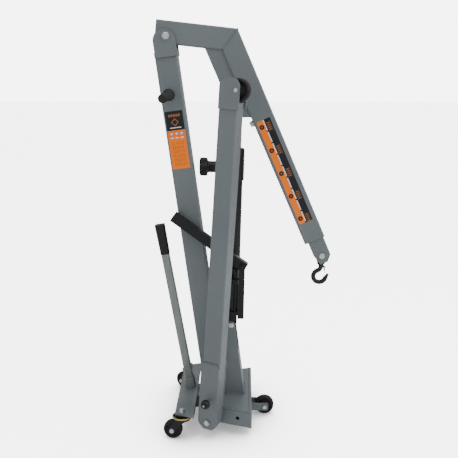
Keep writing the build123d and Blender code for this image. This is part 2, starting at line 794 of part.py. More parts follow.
def release_knob():
    """The lobed hand knob of the release valve with its flared hub and spindle."""
    head_half, lobe = 16.0, 9.0
    ring = knob_radius - lobe
    middle = knob_reach - head_half
    head = Pos(0, 0, middle) * Cylinder(ring, 2 * head_half)
    for i in range(knob_lobes):
        angle = pi / 2 + 2 * pi * i / knob_lobes
        head += Pos(ring * cos(angle), ring * sin(angle), middle) * Cylinder(lobe, 2 * head_half)
    outline = [
        (0, gland_radius + 9),
        (26, gland_radius + 9),
        (26, gland_radius + 15),
        (23, gland_radius + 32),
        (23, middle),
        (0, middle),
    ]
    hub = revolve(Plane.XZ * make_face(Polyline(*outline, close=True)), Axis.Z)
    spindle = Pos(0, 0, gland_radius + 4) * Cylinder(8.0, 16)
    return ram_frame * Pos(0, 0, knob_height) * Rot(0, -90, 0) * (head + hub + spindle)


def ram_rod():
    """The piston rod with its piston and its upper eye."""
    eye_half = gusset_half - 6 - 1.5
    shaft_foot = 92.0
    rod = Pos(0, 0, (ram_length - 16 + shaft_foot) / 2) * Cylinder(rod_radius, ram_length - 16 - shaft_foot)
    piston = Pos(0, 0, shaft_foot) * Cylinder(cylinder_radius - 5 - 0.06, 30)
    eye = cross_pin(20.0, 0, ram_length, -eye_half, eye_half)
    return ram_frame * (rod + piston + eye - cross_pin(9.0, 0, ram_length, -60, 60))


def ram_top_pin():
    """The shank of the ram's upper bolt, inside the gusset."""
    half = gusset_half - 6 - 0.6
    return ram_frame * cross_pin(9.0, 0, ram_length, -half, half)


def pump_body():
    """The pump barrel, standing in the foot block beside the cylinder."""
    foot, top = ram_block_top - 6, pump_top
    barrel = Pos(0, 0, (foot + top) / 2) * Cylinder(pump_radius, top - foot)
    nut = extrude(Plane.XY.offset(top - 18) * RegularPolygon(pump_radius + 3, 6), 18)
    bore = Pos(0, 0, top) * Cylinder(plunger_radius + running, 150)
    return ram_frame * Pos(pump_forward, pump_y, 0) * (barrel + nut - bore)


def pump_link(side):
    """One upright link plate from the foot block to the lever's pivot."""
    inner = lever_size / 2 + 1.0
    y0, y1 = sorted((pump_y + side * inner, pump_y + side * (inner + 4)))
    foot_z = ram_foot[1] + ram_block_top - 20
    right = lever_pivot[0] + 5
    outline = [
        (right - 26, foot_z),
        (right, foot_z),
        (right + 4, lever_pivot[1]),
        (lever_pivot[0] - 13, lever_pivot[1]),
    ]
    body = side_plate(outline, y0, y1) + cross_pin(13.0, *lever_pivot, y0, y1)
    return body - cross_pin(6.0, *lever_pivot, y0 - 1, y1 + 1)


def pump_link_pin():
    """The pin through the links on which the lever socket turns."""
    reach = lever_size / 2 + 5
    return cross_bolt(6.0, *lever_pivot, pump_y - reach, pump_y + reach, 4.0, 16.0)


def valve_plugs():
    """The two plated plug screws in the foot block's front."""
    return [valve_plug(ram_block_foot + 30, 5.0), valve_plug(ram_block_top + 5, 3.5)]


def valve_plug(z, size):
    """One plug screw at this height above the ram's foot."""
    where = ram_frame * Pos(manifold_front, pump_y - 10 + z / 4, z) * Rot(0, 90, 0)
    return where * (Pos(0, 0, 2) * Cylinder(size, 8) - Pos(0, 0, 6) * Cylinder(size / 2, 4))


def pump_plunger():
    """The plunger that the lever pushes into the pump."""
    top, foot = pump_top + 41, pump_top - 58
    rod = Pos(0, 0, (top + foot) / 2) * Cylinder(plunger_radius, top - foot)
    cap = Pos(0, 0, top - 4) * Cylinder(plunger_radius + 1, 8)
    return ram_frame * Pos(pump_forward, pump_y, 0) * (rod + cap)


def lever_socket():
    """The square socket tube that takes the pump handle, pointing up and to the back."""
    tube = Pos(-lever_length, 0, 0) * square_tube(lever_length + 12, lever_size, lever_size, lever_wall, 4.0)
    eye = cross_pin(10.0, 0, 0, -lever_size / 2 + lever_wall, lever_size / 2 - lever_wall)
    body = tube + eye - cross_pin(6.0 + running, 0, 0, -60, 60)
    return lever_frame * body


# ---------------------------------------------------------------- stored pump handle
def pump_handle_bar():
    """The square pump handle tube, standing in its socket."""
    body = handle_frame * Pos(0, 0, -10) * standing_tube(handle_length, handle_bar, handle_bar, 2.5, 4.0)
    return body - span_box(-400, 0, -100, 100, 0, deck_top + 0.5)


def pump_handle_grip():
    """The moulded grip on the pump handle's upper end."""
    top = handle_length - 10 + 4
    low = top - grip_length
    block = loft([
        Pos(0, 0, low) * RectangleRounded(handle_bar + 4, handle_bar + 4, 7),
        Pos(0, 0, top) * RectangleRounded(handle_bar + 8, handle_bar + 8, 9),
    ])
    core = Pos(0, 0, (low - 20 + handle_length - 10) / 2) * extrude(
        RectangleRounded(handle_bar, handle_bar, 4), handle_length - 10 - low + 20, both=False
    )
    core = Pos(0, 0, -(handle_length - 10 - low + 20) / 2) * core
    return handle_frame * (block - core)


# ---------------------------------------------------------------- write every node
def mirrored(shape):
    """The far side's copy of a near side part."""
    return mirror(shape, about=Plane.XZ)


def write_pair(name, make):
    """A leg part and its mirror image on the far leg."""
    near = make()
    write(f"near_{name}", near)
    write(f"far_{name}", mirrored(near))


def main():
    os.makedirs("parts", exist_ok=True)
    write("deck_plate", deck_plate())
    write("rear_cross_plate", rear_cross_plate())
    write("base_spine", base_spine())
    write("leg_brackets", leg_bracket(), mirrored(leg_bracket()))
    write("lock_lugs", lock_lug(), mirrored(lock_lug()))
    write("front_plate", front_plate())
    write("front_fork_arms", front_fork_arm(-1), front_fork_arm(1))
    write("front_axle", front_axle())
    write("front_wheel", front_wheel())
    write("mast_tube", mast_tube())
    write("mast_cheeks", mast_cheek(-1), mast_cheek(1))
    write("boom_pivot_bolt", boom_pivot_bolt())
    write("push_bars", push_bar(-1), push_bar(1))
    write("push_bar_grips", push_bar_grip(-1), push_bar_grip(1))
    write("ram_pedestal", ram_pedestal())
    write("ram_foot_bolt", ram_foot_bolt())
    write("handle_socket", handle_socket())
    write("leg_pivot_bolts", leg_pivot_bolt(), mirrored(leg_pivot_bolt()))
    write("caster_stem_nuts", caster_stem_nut(-1), caster_stem_nut(1))

    for name, side, turn in (("near", -1, near_caster_turn), ("far", 1, far_caster_turn)):
        frame = caster_frame(side, turn)
        write(f"{name}_caster_fork", frame * caster_fork())
        write(f"{name}_caster_axle", frame * caster_axle())
        write(f"{name}_caster_wheel", frame * caster_wheel())

    write_pair("leg_tube", leg_tube_body)
    shoes = [leg_shoe(leg_outside), leg_shoe(-leg_gap - shoe)]
    cheeks = [leg_cheek(leg_outside), leg_cheek(-leg_gap - shoe)]
    write("near_leg_plates", *shoes, *cheeks)
    write("far_leg_plates", *[mirrored(s) for s in shoes + cheeks])
    write_pair("leg_axle", leg_axle)
    write_pair("leg_wheel", leg_wheel)
    write_pair("lock_pin", lock_pin)

    write("boom_arm", boom_arm())
    write("boom_jib", boom_jib())
    write("boom_gusset", boom_gusset())
    write("boom_pivot_bush", boom_pivot_bush())
    write("ram_top_bolt_ends", ram_bolt_end(-1), ram_bolt_end(1))
    write("extension_clamp_bolt", clamp_bolt())
    write("extension_tube", extension_tube())
    write("hook_bolt", hook_bolt())
    write("hook_clevis", hook_clevis())
    write("crane_hook", crane_hook())
    write("hook_latch", hook_latch())

    write("ram_block", ram_block())
    write("ram_cylinder", ram_cylinder())
    write("ram_gland", ram_gland())
    write("release_knob", release_knob())
    write("ram_rod", ram_rod())
    write("ram_top_pin", ram_top_pin())
    write("pump_body", pump_body())
    write("pump_links", pump_link(-1), pump_link(1))
    write("pump_link_pin", pump_link_pin())
    write("valve_plugs", *valve_plugs())
    write("pump_plunger", pump_plunger())
    write("lever_socket", lever_socket())
    write("pump_handle_bar", pump_handle_bar())
    write("pump_handle_grip", pump_handle_grip())


main()
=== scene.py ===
import json
from math import cos, pi, radians, sin

import bmesh
import bpy
from mathutils import Matrix, Vector, noise


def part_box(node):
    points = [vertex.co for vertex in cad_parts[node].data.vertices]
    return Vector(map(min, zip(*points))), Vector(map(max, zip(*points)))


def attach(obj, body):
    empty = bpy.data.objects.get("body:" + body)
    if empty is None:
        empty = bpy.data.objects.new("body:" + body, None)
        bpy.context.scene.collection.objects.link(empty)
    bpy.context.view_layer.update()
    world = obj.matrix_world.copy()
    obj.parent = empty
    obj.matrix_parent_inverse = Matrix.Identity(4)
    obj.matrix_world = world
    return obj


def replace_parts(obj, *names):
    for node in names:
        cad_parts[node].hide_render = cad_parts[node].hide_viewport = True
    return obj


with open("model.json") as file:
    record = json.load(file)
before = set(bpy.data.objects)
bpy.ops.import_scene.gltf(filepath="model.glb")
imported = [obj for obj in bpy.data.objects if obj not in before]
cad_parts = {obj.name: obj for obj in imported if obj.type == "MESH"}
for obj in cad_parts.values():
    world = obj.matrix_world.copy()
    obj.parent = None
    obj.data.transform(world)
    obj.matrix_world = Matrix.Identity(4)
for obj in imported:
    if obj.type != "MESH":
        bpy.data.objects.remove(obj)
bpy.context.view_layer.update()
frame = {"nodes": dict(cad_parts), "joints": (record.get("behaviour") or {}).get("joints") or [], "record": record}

NODES = frame["nodes"]
JOINTS = {j["name"]: j for j in frame["joints"]}
scene = bpy.context.scene

# Lengths are in metres and angles in degrees.
BOOM_TILT, JIB_TURN, MAST_TILT = 6.4, 60.0, 7.5
LEG_SPLAY, LEG_LEAN = 20.0, 4.0
BOOM_HALF_Y, BOOM_HALF_Z, BOOM_DROP, BEND_AT = 0.038, 0.0425, 0.0145, 0.240
MAST_HALF_Y, MAST_HALF_X, MAST_FOOT_X = 0.040, 0.043, -0.118
DECK = 0.112
PUSH_BAR_AT, CHEEK_FOOT = 1.242, 1.378


# ------------------------------------------------------------------ node materials
class Nodes:
    """A short way to write a material's node tree."""

    def __init__(self, name):
        self.mat = bpy.data.materials.new(name)
        self.mat.use_nodes = True
        self.tree = self.mat.node_tree
        self.tree.nodes.clear()
        self.out = self.tree.nodes.new("ShaderNodeOutputMaterial")
        self.bsdf = self.tree.nodes.new("ShaderNodeBsdfPrincipled")
        self.link(self.bsdf.outputs[0], self.out.inputs[0])

    def link(self, a, b):
        self.tree.links.new(a, b)

    def node(self, kind, **values):
        made = self.tree.nodes.new("ShaderNode" + kind)
        for key, value in values.items():
            setattr(made, key, value)
        return made

    def put(self, made, **values):
        for key, value in values.items():
            socket = made.inputs[key.replace("_", " ")]
            if isinstance(value, bpy.types.NodeSocket):
                self.link(value, socket)
            else:
                socket.default_value = value

    def coords(self, scale=(1, 1, 1)):
        tex = self.node("TexCoord")
        mapping = self.node("Mapping")
        self.link(tex.outputs["Object"], mapping.inputs["Vector"])
        mapping.inputs["Scale"].default_value = scale
        return mapping.outputs[0]

    def noise(self, where, scale, detail=3.0, rough=0.5):
        made = self.node("TexNoise")
        self.link(where, made.inputs["Vector"])
        self.put(made, Scale=scale, Detail=detail, Roughness=rough)
        return made.outputs["Fac"]

    def ramp(self, value, *stops):
        made = self.node("ValToRGB")
        self.link(value, made.inputs[0])
        band = made.color_ramp
        while len(band.elements) < len(stops):
            band.elements.new(0.5)
        for element, (place, colour) in zip(band.elements, stops):
            element.position = place
            level = colour if isinstance(colour, tuple) else (colour, colour, colour)
            element.color = (*level, 1.0)
        return made.outputs["Color"]

    def mix(self, factor, a, b):
        """Blends two colours; the Mix node keeps its colour sockets at 6, 7 and output 2."""
        made = self.node("Mix", data_type="RGBA")
        for place, value in ((0, factor), (6, a), (7, b)):
            if isinstance(value, bpy.types.NodeSocket):
                self.link(value, made.inputs[place])
            elif isinstance(value, tuple):
                made.inputs[place].default_value = (*value, 1.0)
            else:
                made.inputs[place].default_value = value
        return made.outputs[2]

    def math(self, how, a, b=0.0):
        made = self.node("Math", operation=how)
        for socket, value in zip(made.inputs, (a, b)):
            if isinstance(value, bpy.types.NodeSocket):
                self.link(value, socket)
            else:
                socket.default_value = value
        return made.outputs[0]

    def edges(self, radius):
        """1 near a sharp edge and 0 on flat faces, from the bevelled normal."""
        bevel = self.node("Bevel", samples=4)
        bevel.inputs["Radius"].default_value = radius
        geometry = self.node("NewGeometry")
        dot = self.node("VectorMath", operation="DOT_PRODUCT")
        self.link(bevel.outputs[0], dot.inputs[0])
        self.link(geometry.outputs["Normal"], dot.inputs[1])
        return self.math("SUBTRACT", 1.0, dot.outputs["Value"])

    def bump(self, height, strength, distance, rounding=0.0):
        made = self.node("Bump")
        self.put(made, Strength=strength, Distance=distance, Height=height)
        if rounding:
            bevel = self.node("Bevel", samples=4)
            bevel.inputs["Radius"].default_value = rounding
            self.link(bevel.outputs[0], made.inputs["Normal"])
        self.link(made.outputs[0], self.bsdf.inputs["Normal"])


def painted(
    name, base, dark, light, rough=0.42, peel=900.0, wear=0.35, metal=(0.32, 0.32, 0.31), shine=0.5
):
    """Sprayed enamel: orange peel, faint dirt, and a little bare metal along the edges."""
    n = Nodes(name)
    where = n.coords()
    cloud = n.ramp(n.noise(where, 3.0, 4.0), (0.3, dark), (0.52, base), (0.72, light))
    speck = n.noise(where, 160.0, 2.0)
    colour = n.mix(n.ramp(speck, (0.66, 0.0), (0.8, 0.25)), cloud, dark)
    edge = n.ramp(n.edges(0.0022), (0.05, 0.0), (0.16, 1.0))
    rub = n.ramp(n.noise(where, 45.0, 4.0, 0.7), (0.56, 0.0), (0.66, wear))
    bare = n.math("MULTIPLY", edge, rub)
    uneven = n.ramp(n.noise(where, 14.0, 3.0), (0.3, rough - 0.06), (0.7, rough + 0.08))
    n.put(n.bsdf, Base_Color=n.mix(bare, colour, metal), Metallic=bare, Roughness=uneven)
    n.put(n.bsdf, Specular_IOR_Level=shine)
    waves = n.math("MULTIPLY", n.noise(where, 70.0, 2.0), 1.5)
    n.bump(n.math("ADD", n.noise(where, peel, 2.0), waves), 0.10, 0.0006, 0.0012)
    return n.mat


def plated(name, base, tint, rough=0.3, scale=(1, 1, 1), wear=240.0, metallic=1.0):
    """Zinc plated or bare steel with fine scratches and uneven shine."""
    n = Nodes(name)
    where = n.coords(scale)
    blotch = n.noise(where, 60.0, 4.0, 0.6)
    colour = n.mix(n.ramp(blotch, (0.35, 0.0), (0.7, 1.0)), base, tint)
    scratch = n.noise(where, wear, 5.0, 0.7)
    uneven = n.ramp(scratch, (0.3, rough - 0.08), (0.75, rough + 0.14))
    n.put(n.bsdf, Base_Color=colour, Metallic=metallic, Roughness=uneven)
    n.bump(scratch, 0.12, 0.0004, 0.0008)
    return n.mat


def moulded(name, base, light, rough=0.55, grain=700.0, depth=0.3, shine=0.4):
    """Rubber or plastic with a fine moulded grain and grey scuffs on its edges."""
    n = Nodes(name)
    where = n.coords()
    patches = n.noise(where, 28.0, 4.0, 0.6)
    colour = n.mix(n.ramp(patches, (0.4, 0.0), (0.75, 0.7)), base, light)
    edge = n.ramp(n.edges(0.002), (0.05, 0.0), (0.2, 0.5))
    rub = n.ramp(n.noise(where, 90.0, 4.0), (0.45, 0.0), (0.65, 1.0))
    scuff = tuple(min(1.0, c * 2.6 + 0.02) for c in light)
    colour = n.mix(n.math("MULTIPLY", edge, rub), colour, scuff)
    uneven = n.ramp(patches, (0.3, rough - 0.06), (0.7, rough + 0.1))
    n.put(n.bsdf, Base_Color=colour, Roughness=uneven, Specular_IOR_Level=shine)
    n.bump(n.noise(where, grain, 3.0), depth, 0.0004, 0.001)
    return n.mat


def printed(name, ink, faded):
    """Ink on a vinyl decal: even, slightly glossy, thinly scratched."""
    n = Nodes(name)
    where = n.coords()
    scratch = n.noise(n.coords((1, 1, 9)), 90.0, 4.0, 0.7)
    n.put(n.bsdf, Base_Color=n.mix(n.ramp(scratch, (0.56, 0.0), (0.72, 0.6)), ink, faded))
    uneven = n.ramp(n.noise(where, 30.0), (0.3, 0.30), (0.7, 0.42))
    n.put(n.bsdf, Roughness=uneven, Specular_IOR_Level=0.25)
    n.bump(n.noise(where, 500.0), 0.08, 0.0003)
    return n.mat


MATERIALS = {
    "grey_paint": painted(
        "grey_paint", (0.112, 0.132, 0.141), (0.100, 0.118, 0.127), (0.126, 0.147, 0.156),
    ),
    "black_paint": painted(
        "black_paint", (0.009, 0.010, 0.011), (0.006, 0.007, 0.008), (0.015, 0.016, 0.017),
        rough=0.30, peel=700.0, wear=0.3, metal=(0.12, 0.12, 0.12), shine=0.24,
    ),
    "zinc_steel": plated("zinc_steel", (0.56, 0.57, 0.58), (0.42, 0.43, 0.43)),
    "chrome_rod": plated(
        "chrome_rod", (0.62, 0.63, 0.64), (0.56, 0.57, 0.58), rough=0.16, scale=(1, 1, 0.1),
    ),
    "forged_hook": painted(
        "forged_hook", (0.013, 0.013, 0.014), (0.008, 0.008, 0.009), (0.024, 0.024, 0.025),
        rough=0.33, peel=300.0, wear=0.5, metal=(0.22, 0.22, 0.22), shine=0.3,
    ),
    "black_rubber": moulded(
        "black_rubber", (0.012, 0.013, 0.013), (0.022, 0.023, 0.023),
        rough=0.62, grain=600.0, depth=0.4, shine=0.25,
    ),
    "black_plastic": moulded(
        "black_plastic", (0.006, 0.006, 0.007), (0.010, 0.010, 0.011),
        rough=0.34, grain=900.0, depth=0.2, shine=0.25,
    ),
    "galvanised_bar": plated(
        "galvanised_bar", (0.24, 0.262, 0.252), (0.185, 0.205, 0.197),
        rough=0.42, scale=(1, 1, 0.12), wear=160.0, metallic=0.6,
    ),
    "black_wheel": moulded(
        "black_wheel", (0.009, 0.009, 0.010), (0.021, 0.020, 0.019),
        rough=0.55, grain=380.0, depth=0.4, shine=0.22,
    ),
}
WELD = painted(
    "weld_bead", (0.100, 0.117, 0.125), (0.085, 0.100, 0.108), (0.125, 0.145, 0.153),
    rough=0.26, peel=500.0, wear=0.5,
)
WASHER = plated("dull_zinc", (0.26, 0.275, 0.28), (0.18, 0.19, 0.195), rough=0.42)
GOLD = plated("yellow_zinc", (0.62, 0.40, 0.12), (0.50, 0.33, 0.16), rough=0.28)
INK = {
    "orange": printed("orange_ink", (0.90, 0.185, 0.0), (0.74, 0.17, 0.005)),
    "black": printed("black_ink", (0.008, 0.010, 0.013), (0.030, 0.032, 0.035)),
    "white": printed("white_ink", (0.80, 0.80, 0.78), (0.60, 0.60, 0.58)),
    "brown": printed("brown_ink", (0.30, 0.105, 0.035), (0.20, 0.08, 0.03)),
    "rust": printed("rust_ink", (0.52, 0.13, 0.006), (0.42, 0.12, 0.012)),
    "violet": printed("violet_ink", (0.17, 0.10, 0.23), (0.22, 0.16, 0.26)),
}
# Nodes that look like another material than their slot's own.
PAINTED_OVER = {
    "pump_plunger": "black_paint",
    "pump_link_pin": "black_paint",
    "handle_socket": "galvanised_bar",
}
for part in frame["record"]["subparts"]:
    node = NODES[part["node"]]
    node.data.materials.clear()
    node.data.materials.append(MATERIALS[PAINTED_OVER.get(part["node"], part["material_slot"])])


# ------------------------------------------------------------------ frames of the crane's members
def member(origin, along, tilt):
    """A frame in the XZ plane: local X points along, local Z is square to it, tilt in degrees below +X."""
    a = radians(tilt)
    axes = Matrix(((cos(a), 0, sin(a), 0), (0, 1, 0, 0), (-sin(a), 0, cos(a), 0), (0, 0, 0, 1)))
    return Matrix.Translation(Vector(origin)) @ axes @ Matrix.Translation(Vector(along))


def joint_place(name):
    return Vector(JOINTS[name]["pos_m"])


def joint_axis(name):
    return Vector(JOINTS[name]["axis"]).normalized()


BOOM = member(joint_place("boom_lift"), (0, 0, BOOM_DROP), BOOM_TILT)
JIB = BOOM @ member((BEND_AT, 0, 0), (0, 0, 0), JIB_TURN)
MAST = member((MAST_FOOT_X, 0, DECK), (0, 0, 0), -MAST_TILT)


def leg_frame(side):
    """A folded leg's frame: X forward, Y outward, Z up along the leg; side is -1 near and 1 far."""
    name = "near_leg_fold" if side < 0 else "far_leg_fold"
    turn = Matrix.Rotation(radians(LEG_SPLAY) * side, 4, "Z")
    lean = Matrix.Rotation(radians(LEG_LEAN), 4, "Y")
    flip = Matrix.Scale(-1, 4, (0, 1, 0)) if side < 0 else Matrix.Identity(4)
    return Matrix.Translation(joint_place(name)) @ turn @ lean @ flip


# ------------------------------------------------------------------ mesh helpers
def aimed(origin, way):
    """A frame at this point whose local Z points this way."""
    return Matrix.Translation(origin) @ Vector(way).to_track_quat("Z", "Y").to_matrix().to_4x4()


def piece(name, bm, body, material, smooth=True):
    """Turns a bmesh in the row frame into a piece that rides on a body."""
    bmesh.ops.recalc_face_normals(bm, faces=bm.faces)
    mesh = bpy.data.meshes.new(name)
    bm.to_mesh(mesh)
    bm.free()
    made = bpy.data.objects.new(name, mesh)
    scene.collection.objects.link(made)
    for part in material if isinstance(material, list) else [material]:
        mesh.materials.append(part)
    for face in mesh.polygons:
        face.use_smooth = smooth
    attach(made, body)
    return made


def skin(bm, loops, closed=False):
    """Faces between each loop of vertices and the next, and back to the first when closed."""
    faces = []
    following = loops[1:] + loops[:1] if closed else loops[1:]
    for first, second in zip(loops, following):
        for k in range(len(first)):
            m = (k + 1) % len(first)
            faces.append(bm.faces.new((first[k], first[m], second[m], second[k])))
    return faces


def lathe(bm, profile, where, segments=64, index=0):
    """Turns (radius, height) points about local Z; a closed profile gives a closed body."""
    loops = []
    for i in range(segments):
        a = 2 * pi * i / segments
        loops.append([bm.verts.new(where @ Vector((r * cos(a), r * sin(a), h))) for r, h in profile])
    for face in skin(bm, loops, True):
        face.material_index = index


def sheet(bm, points, where, low, high):
    """A thin closed slab with this outline in the local XZ plane, from Y low to Y high."""
    front = [bm.verts.new(where @ Vector((x, low, z))) for x, z in points]
    back = [bm.verts.new(where @ Vector((x, high, z))) for x, z in points]
    bm.faces.new(front)
    bm.faces.new(list(reversed(back)))
    for i in range(len(points)):
        k = (i + 1) % len(points)
        bm.faces.new((front[k], front[i], back[i], back[k]))


def slab(bm, x0, x1, z0, z1, where, low, high, corner=0.0015):
    """A thin slab with rounded corners."""
    steps = 4
    points = []
    for cx, cz, start in (
        (x1 - corner, z1 - corner, 0), (x0 + corner, z1 - corner, 90),
        (x0 + corner, z0 + corner, 180), (x1 - corner, z0 + corner, 270),
    ):
        for step in range(steps + 1):
            a = radians(start + 90 / steps * step)
            points.append((cx + corner * cos(a), cz + corner * sin(a)))
    sheet(bm, points, where, low, high)


def ring(bm, x, z, outer, inner, where, low, high, sides=32):
    """A flat ring, or one with few sides a frame, in the local XZ plane."""
    profile = [(outer, low), (outer, high), (inner, high), (inner, low)]
    turn = Matrix.Rotation(radians(-90), 4, "X")
    lathe(bm, profile, where @ Matrix.Translation((x, 0, z)) @ turn, sides)


BEAD_SIDES, BEAD_STEP, RIPPLE = 8, 0.0018, 0.16


def circle(centre, side, up, radius):
    """Points round a centre, in the plane of two unit vectors."""
    turns = [2 * pi * k / BEAD_SIDES for k in range(BEAD_SIDES)]
    return [centre + radius * (cos(a) * side + sin(a) * up) for a in turns]


def bead(bm, a, b, radius=0.0028, seed=0.0):
    """A rippled weld bead between two points, thinner at its ends."""
    a, b = Vector(a), Vector(b)
    along = (b - a).normalized()
    side = along.orthogonal().normalized()
    up = along.cross(side)
    steps = max(6, int((b - a).length / BEAD_STEP))
    loops = []
    for i in range(steps + 1):
        t = i / steps
        middle = a.lerp(b, t)
        wave = 1.0 + RIPPLE * sin(i * 2.1 + seed) + 0.22 * noise.noise(middle * 90.0)
        taper = min(1.0, 0.35 + 6.0 * min(t, 1 - t))
        loops.append([bm.verts.new(v) for v in circle(middle, side, up, radius * wave * taper)])
    skin(bm, loops)
    bm.faces.new(loops[0])
    bm.faces.new(loops[-1])


def round_bead(bm, centre, normal, radius, thick=0.0026):
    """A weld bead round a bar."""
    where = aimed(centre, normal)
    steps = 96
    loops = []
    for i in range(steps):
        a = 2 * pi * i / steps
        outward = Vector((cos(a), sin(a), 0))
        rim = circle(radius * outward, outward, Vector((0, 0, 1)), thick * (1.0 + RIPPLE * sin(i * 1.9)))
        loops.append([bm.verts.new(where @ v) for v in rim])
    skin(bm, loops, True)


# ------------------------------------------------------------------ weld beads
# How far a bead's middle stands off the face that it lies on.
PROUD = 0.0008


def boom_welds():
    """The mitre seam round the bend and the gusset's seams."""
    bm = bmesh.new()
    slant = radians(JIB_TURN / 2)
    reach = BOOM_HALF_Z * sin(slant) / cos(slant)
    top = BOOM @ Vector((BEND_AT + reach, 0, BOOM_HALF_Z))
    low = BOOM @ Vector((BEND_AT - reach, 0, -BOOM_HALF_Z))
    for side in (-1, 1):
        y = Vector((0, side * (BOOM_HALF_Y + 0.0003), 0))
        bead(bm, low + y, top + y, 0.0022, side)
    across = Vector((0, BOOM_HALF_Y, 0))
    bead(bm, top - across, top + across, 0.0024)
    gusset_start, gusset_end = 0.03, 0.292
    half_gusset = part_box("boom_gusset")[1].y
    for side in (-1, 1):
        y, z = side * (half_gusset + 0.001), -BOOM_HALF_Z - 0.0005
        bead(bm, JIB @ Vector((gusset_start, y, z)), JIB @ Vector((gusset_end, y, z)), 0.0026, side + 1)
    piece("boom_weld_beads", bm, "boom", WELD)


def foot_welds(bm):
    """Along the feet of the mast and the pedestal."""
    low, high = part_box("ram_pedestal")
    z = DECK + 0.001
    half_foot = MAST_HALF_X / cos(radians(MAST_TILT))
    front, back, rear = 0.004, MAST_FOOT_X + half_foot, MAST_FOOT_X - half_foot
    for side in (-1, 1):
        y = side * (high.y + 0.0012)
        bead(bm, (back, y, z), (front, y, z), 0.0032, side)
        mast_y = side * (MAST_HALF_Y + 0.001)
        bead(bm, (rear, mast_y, z), (back, mast_y, z), 0.0032, side + 3)
    bead(bm, (front + 0.001, low.y, z), (front + 0.001, high.y, z), 0.0034, 5.0)


def mast_welds(bm):
    """Under and along the cheeks, and round the push bars."""
    height = 0.020
    for side in (-1, 1):
        y = side * (MAST_HALF_Y + PROUD)
        seam = CHEEK_FOOT - 0.0005
        bead(bm, MAST @ Vector((-0.0405, y, seam)), MAST @ Vector((0.0430, y, seam)), 0.0024, side)
        for x in (-0.0412, 0.0436):
            foot, top = MAST @ Vector((x, y, CHEEK_FOOT)), MAST @ Vector((x, y, CHEEK_FOOT + height))
            bead(bm, foot, top, 0.0022, x)
        round_bead(bm, MAST @ Vector((0, side * MAST_HALF_Y, PUSH_BAR_AT)), (0, 1, 0), 0.0138)


def deck_welds(bm):
    """Behind the front plate, at the fork arms and beside the handle's socket."""
    low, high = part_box("front_plate")
    x, z = low.x - PROUD, DECK + 0.0006
    bead(bm, (x, low.y + 0.002, z), (x, high.y - 0.002, z), 0.0020, 2.0)
    arm_low, arm_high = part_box("front_fork_arms")
    x = high.x + PROUD
    for y in (arm_low.y - 0.001, arm_high.y + 0.001):
        bead(bm, (x, y, arm_low.z), (x, y, arm_high.z), 0.0026, y)
    low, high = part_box("handle_socket")
    z = DECK + 0.001
    for y in (low.y - 0.0005, high.y + 0.0005):
        bead(bm, (low.x + 0.006, y, z), (high.x - 0.006, y, z), 0.0026, y)


def base_welds():
    """Every bead on the base and the mast, as one piece."""
    bm = bmesh.new()
    foot_welds(bm)
    mast_welds(bm)
    deck_welds(bm)
    piece("base_weld_beads", bm, "base", WELD)


def leg_welds(side, body):
    """The seams of the leg's foot plates and of the plates that hold its wheel."""
    bm = bmesh.new()
    where = leg_frame(side)
    outer, half, cut = 0.0775, 0.035, 0.012
    shoe, shoe_corner, cheek = 0.2505, 0.2375, 1.2235
    for a, b, seed in (
        ((-0.036, shoe), (half - cut, shoe), -0.036),
        ((half - cut, shoe), (half, shoe_corner), half - cut),
        ((-0.034, cheek), (0.034, cheek), 4.0),
    ):
        bead(bm, where @ Vector((a[0], outer, a[1])), where @ Vector((b[0], outer, b[1])), 0.0022, seed)
    piece(body + "_weld_beads", bm, body, WELD)


# ------------------------------------------------------------------ decals
# How far the decals' ground and their marks stand off the face.
SKIN, RAISED = 0.0003, 0.0006


def face_frame(where, half_y):
    """The near face of a member, with local Y pointing out of the face."""
    return where @ Matrix.Translation((0, -half_y, 0)) @ Matrix.Scale(-1, 4, (0, 1, 0))


def print_decal(name, inks, body):
    """One piece for each ink of a decal."""
    for ink, bm in inks.items():
        piece(name + "_" + ink, bm, body, INK[ink], False)


def jib_decal():
    """Orange and black bands along the jib, with one ring for each position of the extension."""
    near = face_frame(JIB, BOOM_HALF_Y)
    start, end, low, high, seam = 0.325, 0.762, -0.0305, 0.0245, -0.0035
    inks = {ink: bmesh.new() for ink in ("orange", "black", "white", "brown")}

    def mark(ink, x0, x1, z0, z1, corner):
        slab(inks[ink], x0, x1, z0, z1, near, SKIN, RAISED, corner)

    slab(inks["orange"], start, end, low, seam, near, 0.0, SKIN, 0.004)
    slab(inks["black"], start, end, seam, high, near, 0.0, SKIN, 0.002)
    segments, gap = 9, 0.005
    length = (end - start) / segments
    for i in range(segments):
        a = start + i * length
        b = a + length
        mark("white", a + 0.001, b - gap, seam - 0.002, seam + 0.0015, 0.001)
        mark("black", b - gap, b + 0.001, seam - 0.004, seam + 0.001, 0.0008)
    first, pitch, count, ring_z = 0.350, 0.0975, 5, -0.0185
    for i in range(count):
        x = first + i * pitch
        ring(inks["black"], x, ring_z, 0.0095, 0.0036, near, SKIN, RAISED)
        ring(inks["brown"], x, ring_z, 0.0031, 0.0012, near, SKIN, RAISED)
        for z in (0.0165, 0.0032):
            mark("brown", x - 0.013, x + 0.026, z, z + 0.0013, 0.0005)
        for k in range(4):
            left = x - 0.010 + 0.009 * k
            mark("brown", left, left + 0.005, 0.0065, 0.0145, 0.002)
    print_decal("jib_decal", inks, "boom")


